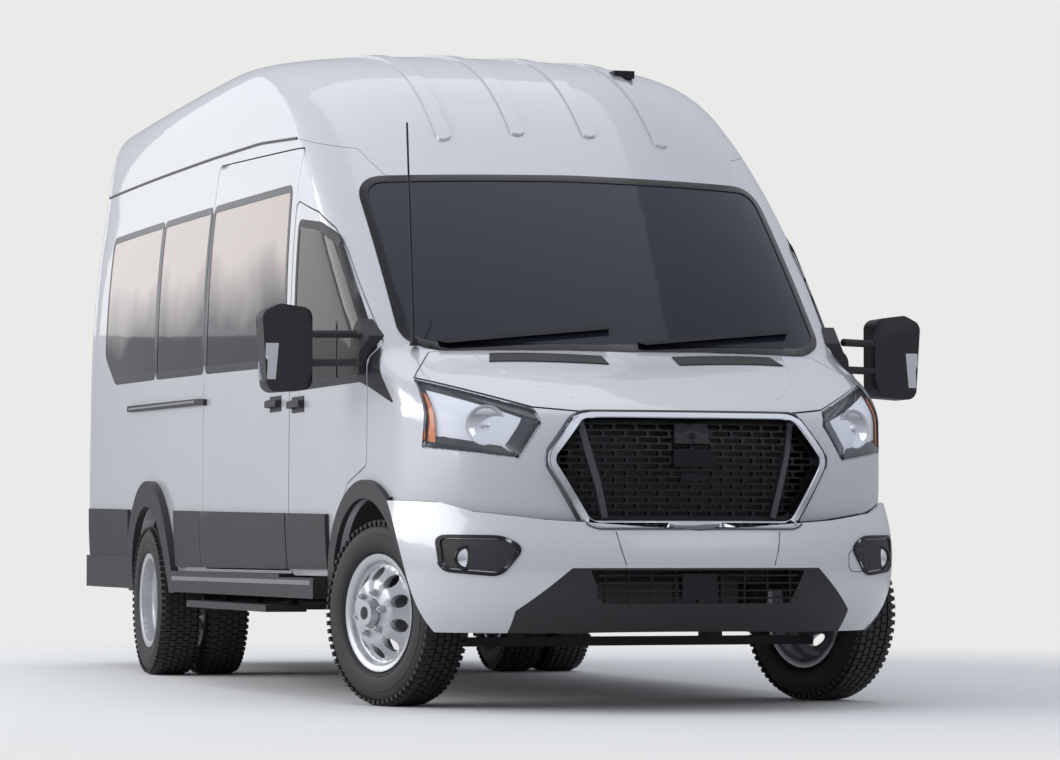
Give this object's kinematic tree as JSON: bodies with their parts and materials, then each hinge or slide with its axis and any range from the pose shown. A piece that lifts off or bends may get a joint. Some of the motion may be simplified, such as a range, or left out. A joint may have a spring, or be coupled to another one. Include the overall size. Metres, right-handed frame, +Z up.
{
  "type": "minibus",
  "caption": "Long high-roofed minibus with a short sloping hood, sliding side door, barn rear doors, steered front wheels and twin rear wheels.",
  "frame": {"origin": "on the ground at the centre of the vehicle's bounding box", "axes": "-Y is the driving direction, -X the vehicle's right side, +Z up"},
  "size_m": [2.6866, 6.7052, 2.7811],
  "materials": {
    "black": "grained black plastic",
    "chassis": "black chassis paint",
    "chrome": "satin bright trim",
    "clear": "clear lens",
    "fabric": "dark seat fabric",
    "glass": "tinted glass",
    "iron": "bare casting",
    "paint": "light silver metallic paint",
    "red": "red lamp plastic",
    "steel": "silver painted steel",
    "tyre": "tyre rubber"
  },
  "bodies": {
    "body": {"roof": "paint", "roof_ribs": "paint", "rear_frame": "paint", "side_cladding": "black", "side_right": "paint", "side_left": "paint", "sliding_door": "paint", "cab_frame": "paint", "wings": "paint", "front_bumper": "paint", "front_valance": "black", "windscreen": "glass", "side_glass": "glass", "grille_surround": "chrome", "grille": "black", "lamp_lenses": "clear", "lamp_housings": "black", "arch_flares": "black", "arch_liners": "black", "rear_bumper": "black", "floor": "black", "frame_rails": "chassis", "rear_axle": "chassis", "front_axle": "chassis", "engine": "iron", "fuel_tank": "chassis", "exhaust": "chassis", "seat_frames": "chassis", "dashboard": "black", "steering_wheel": "black", "antenna": "black", "sills": "black", "tail_lamps": "red", "seats": "fabric", "hinge_posts": "black", "wipers": "black"},
    "front_door_right": {"front_door_right": "paint", "front_glass_right": "glass", "mirror_right": "black", "door_cladding_right": "black"},
    "front_door_left": {"front_door_left": "paint", "front_glass_left": "glass", "mirror_left": "black", "door_cladding_left": "black"},
    "rear_door_right": {"rear_door_right": "paint", "rear_glass_right": "glass"},
    "rear_door_left": {"rear_door_left": "paint", "rear_glass_left": "glass"},
    "hood": {"hood": "paint"},
    "knuckle_right": {"knuckle_right": "iron"},
    "knuckle_left": {"knuckle_left": "iron"},
    "front_wheel_right": {"tyre_front_right": "tyre", "rim_front_right": "steel"},
    "front_wheel_left": {"tyre_front_left": "tyre", "rim_front_left": "steel"},
    "rear_wheels_right": {"tyres_rear_right": "tyre", "rims_rear_right": "steel"},
    "rear_wheels_left": {"tyres_rear_left": "tyre", "rims_rear_left": "steel"}
  },
  "joints": [
    {"name": "steer_right", "type": "hinge", "parent": "body", "child": "knuckle_right", "pos_m": [-0.79, -2.329, 0.349], "axis": [0, 0, 1], "range_deg": [-54, 16]},
    {"name": "steer_left", "type": "hinge", "parent": "body", "child": "knuckle_left", "pos_m": [0.79, -2.329, 0.349], "axis": [0, 0, 1], "range_deg": [-54, 16]},
    {"name": "front_wheel_right_spin", "type": "hinge", "parent": "knuckle_right", "child": "front_wheel_right", "pos_m": [-0.86186, -2.35374, 0.349], "axis": [0.9455, 0.3256, 0], "continuous": true},
    {"name": "front_wheel_left_spin", "type": "hinge", "parent": "knuckle_left", "child": "front_wheel_left", "pos_m": [0.86186, -2.30426, 0.349], "axis": [0.9455, 0.3256, 0], "continuous": true},
    {"name": "rear_wheels_right_spin", "type": "hinge", "parent": "body", "child": "rear_wheels_right", "pos_m": [-0.843, 1.421, 0.349], "axis": [1, 0, 0], "continuous": true},
    {"name": "rear_wheels_left_spin", "type": "hinge", "parent": "body", "child": "rear_wheels_left", "pos_m": [0.843, 1.421, 0.349], "axis": [1, 0, 0], "continuous": true},
    {"name": "front_door_right_hinge", "type": "hinge", "parent": "body", "child": "front_door_right", "pos_m": [-0.98, -2.313, 1.1], "axis": [0, 0, 1], "range_deg": [0, 68]},
    {"name": "front_door_left_hinge", "type": "hinge", "parent": "body", "child": "front_door_left", "pos_m": [0.98, -2.313, 1.1], "axis": [0, 0, -1], "range_deg": [0, 68]},
    {"name": "rear_door_right_hinge", "type": "hinge", "parent": "body", "child": "rear_door_right", "pos_m": [-0.872, 3.302, 1.45], "axis": [0, 0, 1], "range_deg": [0, 180]},
    {"name": "rear_door_left_hinge", "type": "hinge", "parent": "body", "child": "rear_door_left", "pos_m": [0.872, 3.302, 1.45], "axis": [0, 0, -1], "range_deg": [0, 180]},
    {"name": "hood_hinge", "type": "hinge", "parent": "body", "child": "hood", "pos_m": [0, -2.425, 1.345], "axis": [-1, 0, 0], "range_deg": [0, 55]}
  ],
  "couplings": [
    {"joint": "steer_left", "follows": "steer_right", "ratio": 1}
  ]
}
